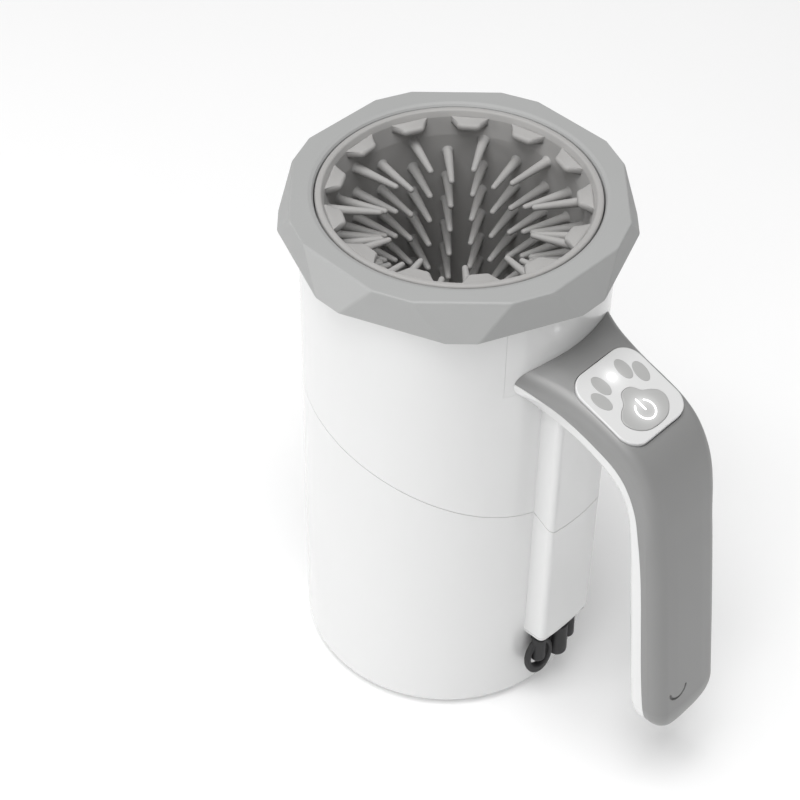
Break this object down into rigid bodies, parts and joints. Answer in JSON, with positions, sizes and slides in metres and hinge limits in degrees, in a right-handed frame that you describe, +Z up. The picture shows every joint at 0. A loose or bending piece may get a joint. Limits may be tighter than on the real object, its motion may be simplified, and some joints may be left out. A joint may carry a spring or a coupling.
{
  "type": "paw washer cup",
  "caption": "Handheld paw washer cup: motor-driven soft bristle insert inside a round white body, faceted grey rim ring and a side handle with a paw-shaped power button.",
  "frame": {"origin": "centre of the rubber base pad, on the surface the cup stands on", "axes": "+Z up along the cup, +X towards the handle"},
  "size_m": [0.1783, 0.1208, 0.205],
  "materials": {
    "white_body": "smooth satin-gloss moulded white plastic",
    "white_tank": "smooth white plastic",
    "grey_handle": "satin mid-grey plastic",
    "grey_rim": "fine matte light-grey plastic",
    "grey_core": "matte grey plastic",
    "silicone": "soft matte grey silicone",
    "white_panel": "satin white plastic",
    "grey_print": "matte grey inlay",
    "grey_button": "satin grey key cap",
    "light_white": "clear white light guide",
    "rubber_black": "matte black rubber",
    "steel": "zinc-plated steel",
    "brass": "turned brass",
    "board_green": "solder-masked circuit board",
    "plastic_black": "black moulded plastic",
    "wire_black": "insulated wire",
    "cell_wrap": "wrapped pouch cell"
  },
  "bodies": {
    "root": {"upper_shell": "white_body", "lower_shell": "white_body", "handle_mount_plate": "white_body", "inner_tank": "white_tank", "shaft_seal": "rubber_black", "base_cover": "white_body", "base_pad": "rubber_black", "gearbox_plate": "plastic_black", "spindle_bush": "brass", "motor_can": "steel", "handle_cover": "grey_handle", "handle_inner_shell": "white_body", "button_panel": "white_panel", "status_lens": "light_white", "control_board": "board_green", "tact_switch": "plastic_black", "battery_cell": "cell_wrap", "charging_jack": "plastic_black", "charging_board": "board_green", "port_cover_anchor": "rubber_black", "wire_harness": "wire_black", "motor_leads": "wire_black", "base_screw_1": "steel", "toe_inlay_1": "grey_print", "base_screw_2": "steel", "toe_inlay_2": "grey_print", "base_screw_3": "steel", "toe_inlay_3": "grey_print", "base_screw_4": "steel", "toe_inlay_4": "grey_print", "plate_screw_1": "steel", "plate_screw_2": "steel", "plate_screw_3": "steel", "motor_screw_1": "steel", "handle_screw_1": "steel", "mount_screw_1": "steel", "motor_screw_2": "steel", "handle_screw_2": "steel", "mount_screw_2": "steel"},
    "spindle": {"drive_spindle": "steel", "drive_gear": "plastic_black", "drive_dog": "grey_core"},
    "rotor": {"motor_shaft": "steel", "motor_pinion": "brass"},
    "brush": {"brush_liner": "silicone", "brush_basket": "grey_core", "drive_socket": "white_tank"},
    "rim": {"faceted_rim": "grey_rim", "rim_gasket": "rubber_black"},
    "button": {"power_button": "grey_button", "symbol_arc_light": "light_white", "symbol_bar_light": "light_white"},
    "port_flap": {"port_cover": "rubber_black"}
  },
  "joints": [
    {"name": "brush_spin", "type": "hinge", "parent": "root", "child": "spindle", "pos_m": [0, 0, 0.035], "axis": [0, 0, 1], "continuous": true},
    {"name": "motor_spin", "type": "hinge", "parent": "root", "child": "rotor", "pos_m": [-0.024, 0, 0.035], "axis": [0, 0, 1], "continuous": true},
    {"name": "brush_lift", "type": "slide", "parent": "spindle", "child": "brush", "axis": [0, 0, 1], "range_m": [0, 0.18]},
    {"name": "rim_lift", "type": "slide", "parent": "root", "child": "rim", "axis": [0, 0, 1], "range_m": [0, 0.03]},
    {"name": "power_button_press", "type": "slide", "parent": "root", "child": "button", "axis": [-0.3305, 0, -0.9438], "range_m": [0, 0.0008], "stiffness_N_per_m": 1200},
    {"name": "port_cover_open", "type": "hinge", "parent": "root", "child": "port_flap", "pos_m": [0.0565, 0.00905, 0.0317], "axis": [1, 0, 0], "range_deg": [0, 90]}
  ],
  "couplings": [
    {"joint": "motor_spin", "follows": "brush_spin", "ratio": -4}
  ]
}
